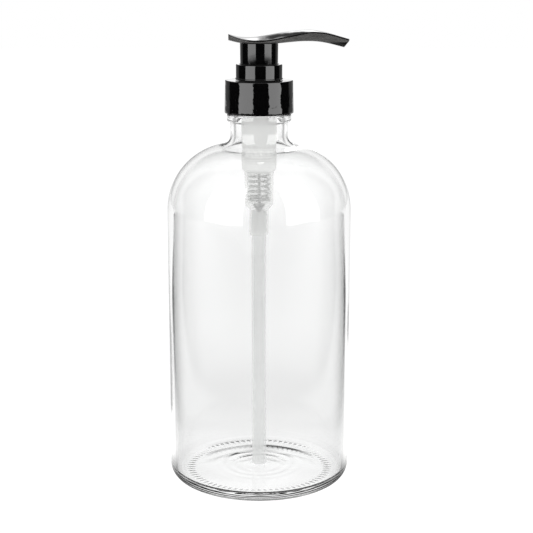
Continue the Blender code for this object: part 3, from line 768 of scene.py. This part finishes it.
# lens and sensor in millimetres, and the sideways shift as a share of the frame's width
CAMERA_LENS, CAMERA_SENSOR, CAMERA_SHIFT, CAMERA_CLIP = 92.6, 36.0, 0.0138837, 0.01
CAMERA_PLACE, CAMERA_TILT = (0.0, -0.6988, 0.2754), 13.05
GLASS_BOUNCES, MIRROR_BOUNCES, BRIGHTEST_BOUNCE = 24, 12, 8.0


def total(n, first, *others):
    """Sum of outputs or numbers."""
    for other in others:
        first = n.math('ADD', first, other)
    return first


def product(n, first, *others):
    """Product of outputs or numbers."""
    for other in others:
        first = n.math('MULTIPLY', first, other)
    return first


def direction(n, x, y):
    """Angle in degrees of (x, y) away from the direction (0, 1)."""
    return product(n, n.math('ARCTAN2', x, y), 180.0 / pi)


def coordinates(n, kind):
    """The x, y and z outputs of one kind of texture coordinates."""
    split = n.add("ShaderNodeSeparateXYZ")
    n.link(n.add("ShaderNodeTexCoord").outputs[kind], split.inputs[0])
    return split.outputs


def softboxes(n, x, y):
    """Mirror brightness of the two tall softboxes, for the direction (x, y) as seen from the object."""
    off = direction(n, x, product(n, y, -1.0))
    left = product(n, n.ramp(off, *LEFT_INNER), n.ramp(off, *LEFT_OUTER))
    right = product(n, n.ramp(off, *RIGHT_INNER), n.ramp(off, *RIGHT_OUTER))
    return product(n, total(n, left, right), SOFTBOX)


def mirror_share(n, path):
    """1 for a mirrored ray that has met no matt surface, otherwise 0."""
    matt = product(n, path["Diffuse Depth"], 100.0)
    return n.math('GREATER_THAN', n.math('SUBTRACT', path["Glossy Depth"], matt), 0.5)


def floor_through_glass(n, y):
    """The floor as clear glass shows it: a little darker just behind the object, brighter far away."""
    near = total(n, n.ramp(y, 0.10, 0.32, 0.865, 0.965), n.ramp(y, 0.30, 1.10, 0.0, 0.13))
    under = total(n, near, n.ramp(y, 0.10, -0.06, 0.0, 0.25))
    return n.math('SUBTRACT', under, n.ramp(y, -0.10, -0.30, 0.0, 0.12))


def floor_in_mirrors(n, x, y, first):
    """The floor as mirrored rays meet it: the sheet, black beside it, and a grey table in front."""
    side = n.math('ABSOLUTE', x)
    azimuth = direction(n, side, y)
    spread = product(n, y, n.mix_value(first, 0.52, 0.64))
    spread = total(n, spread, n.mix_value(first, 0.072, 0.09), n.ramp(y, 0.30, 1.10, 0.0, 1.0))
    across = n.math('SUBTRACT', side, spread)
    sheet = product(n, n.ramp(across, 0.03, -0.03), n.ramp(y, -0.02, 0.03))
    bright = product(n, n.ramp(y, 0.15, 0.6, 0.88, 0.74), n.ramp(azimuth, 6.0, 26.0, 0.80, 1.25))
    radius = n.math('SQRT', total(n, product(n, x, x), product(n, y, y)))
    table = n.math('MINIMUM', n.ramp(radius, 0.07, 0.14, 0.05, 0.55), n.ramp(y, -0.50, -0.20, 0.04, 0.55))
    mirrored = n.mix_value(sheet, n.ramp(azimuth, 62.0, 88.0, 0.03, table), bright)
    glow = product(n, softboxes(n, x, y), n.ramp(radius, *SOFTBOX_ON_FLOOR))
    return total(n, mirrored, product(n, glow, first))


def make_floor():
    """White sweep just below the resting face."""
    floor = mesh_object("floor", [
        (-FLOOR_SIDE, FLOOR_FRONT, FLOOR_Z), (FLOOR_SIDE, FLOOR_FRONT, FLOOR_Z),
        (FLOOR_SIDE, FLOOR_BACK, FLOOR_Z), (-FLOOR_SIDE, FLOOR_BACK, FLOOR_Z)], [(0, 1, 2, 3)])
    material, n, shader = new_material("white_floor")
    shader.inputs["Base Color"].default_value = FLOOR_TONE
    shader.inputs["Roughness"].default_value = 0.9
    shader.inputs["Specular IOR Level"].default_value = 0.0
    shader.inputs["Emission Color"].default_value = WHITE
    x, y, _ = coordinates(n, "Object")
    path = n.add("ShaderNodeLightPath").outputs
    first = n.math('LESS_THAN', path["Ray Depth"], FIRST_ON_FLOOR)
    plain = n.mix_value(path["Is Camera Ray"], floor_through_glass(n, y), FLOOR_WHITE)
    mirrored = floor_in_mirrors(n, x, y, first)
    n.link(n.mix_value(mirror_share(n, path), plain, mirrored), shader.inputs["Emission Strength"])
    wear_material(floor, material)


def window_over_object(n, across, rise):
    """A bright panel above the backdrop that goes on, brighter, over the object."""
    width = product(n, n.ramp(across, -5.0, -1.0), n.ramp(across, 11.0, 8.0))
    panel = n.ramp(rise, 30.0, 40.0, 1.2, 0.0)
    over = product(n, n.ramp(rise, 15.0, 30.0, 0.0, 4.5), n.ramp(rise, 80.0, 70.0))
    return product(n, width, total(n, panel, over))


def make_world():
    """The room round the object: plain white, with the studio in its mirrored rays."""
    world = bpy.data.worlds.new("studio")
    bpy.context.scene.world = world
    world.use_nodes = True
    n = Nodes(world.node_tree)
    background = world.node_tree.nodes["Background"]
    x, y, z = coordinates(n, "Generated")
    # across is the angle to the right of the backdrop, azimuth its size, and rise the angle above the horizon
    across = direction(n, x, y)
    azimuth = n.math('ABSOLUTE', across)
    rise = product(n, n.math('ARCSINE', z), 180.0 / pi)
    path = n.add("ShaderNodeLightPath").outputs
    first = n.math('LESS_THAN', path["Ray Depth"], FIRST_IN_ROOM)
    boxes = product(n, softboxes(n, x, y), n.ramp(rise, *SOFTBOX_TOP), n.ramp(rise, *SOFTBOX_FOOT))
    dark_room = n.math('MAXIMUM', n.ramp(azimuth, 66.0, 56.0, 0.0, 0.3), n.ramp(rise, 38.0, 60.0, 0.01, 0.6))
    first_image = total(n, dark_room, total(n, boxes, window_over_object(n, across, rise)))
    low_panel = product(n, n.ramp(azimuth, 50.0, 28.0), n.ramp(rise, 26.0, 18.0, 0.0, 0.6))
    room = n.mix_value(first, total(n, low_panel, 0.5), first_image)
    plain = n.mix_value(path["Is Camera Ray"], ROOM_LIGHT, ROOM_WHITE)
    n.link(n.mix_value(mirror_share(n, path), plain, room), background.inputs["Strength"])
    background.inputs["Color"].default_value = WHITE


def make_lamp(name, inner, outer, side):
    """A tall softbox that spans two angles off the camera's direction, on one side of it."""
    middle = radians((inner + outer) / 2.0)
    width = 2.0 * LAMP_DISTANCE * np.tan(radians(outer - inner) / 2.0)
    light = bpy.data.lights.new(name, 'AREA')
    light.shape = 'RECTANGLE'
    light.size = width
    light.size_y = LAMP_HEIGHT
    light.energy = LAMP_RADIANCE * pi * width * LAMP_HEIGHT
    obj = bpy.data.objects.new(name, light)
    bpy.context.scene.collection.objects.link(obj)
    obj.location = (side * LAMP_DISTANCE * sin(middle), -LAMP_DISTANCE * cos(middle), LAMP_HEIGHT / 2.0)
    aim = Vector((0.0, 0.0, LAMP_HEIGHT / 2.0)) - obj.location
    obj.rotation_euler = aim.to_track_quat('-Z', 'Y').to_euler()
    obj.visible_camera = False
    obj.visible_transmission = False
    obj.visible_glossy = False


def make_camera():
    """Camera in front of the object, level in roll and looking slightly down."""
    camera = bpy.data.cameras.new("camera")
    camera.lens = CAMERA_LENS
    camera.sensor_width = CAMERA_SENSOR
    camera.shift_x = CAMERA_SHIFT
    camera.clip_start = CAMERA_CLIP
    obj = bpy.data.objects.new("camera", camera)
    bpy.context.scene.collection.objects.link(obj)
    obj.location = CAMERA_PLACE
    obj.rotation_euler = (radians(90.0 - CAMERA_TILT), 0.0, 0.0)
    bpy.context.scene.camera = obj


make_floor()
make_world()
for lamp, (inner, outer, side) in LAMPS.items():
    make_lamp(lamp, inner, outer, side)
make_camera()

scene = bpy.context.scene
scene.view_settings.view_transform = 'Standard'
scene.view_settings.look = 'None'
scene.cycles.max_bounces = GLASS_BOUNCES
scene.cycles.transmission_bounces = GLASS_BOUNCES
scene.cycles.glossy_bounces = MIRROR_BOUNCES
scene.cycles.transparent_max_bounces = GLASS_BOUNCES
scene.cycles.sample_clamp_indirect = BRIGHTEST_BOUNCE
# matt parts inside the glass keep all the light that the glass lets through
scene.cycles.blur_glossy = 0.0
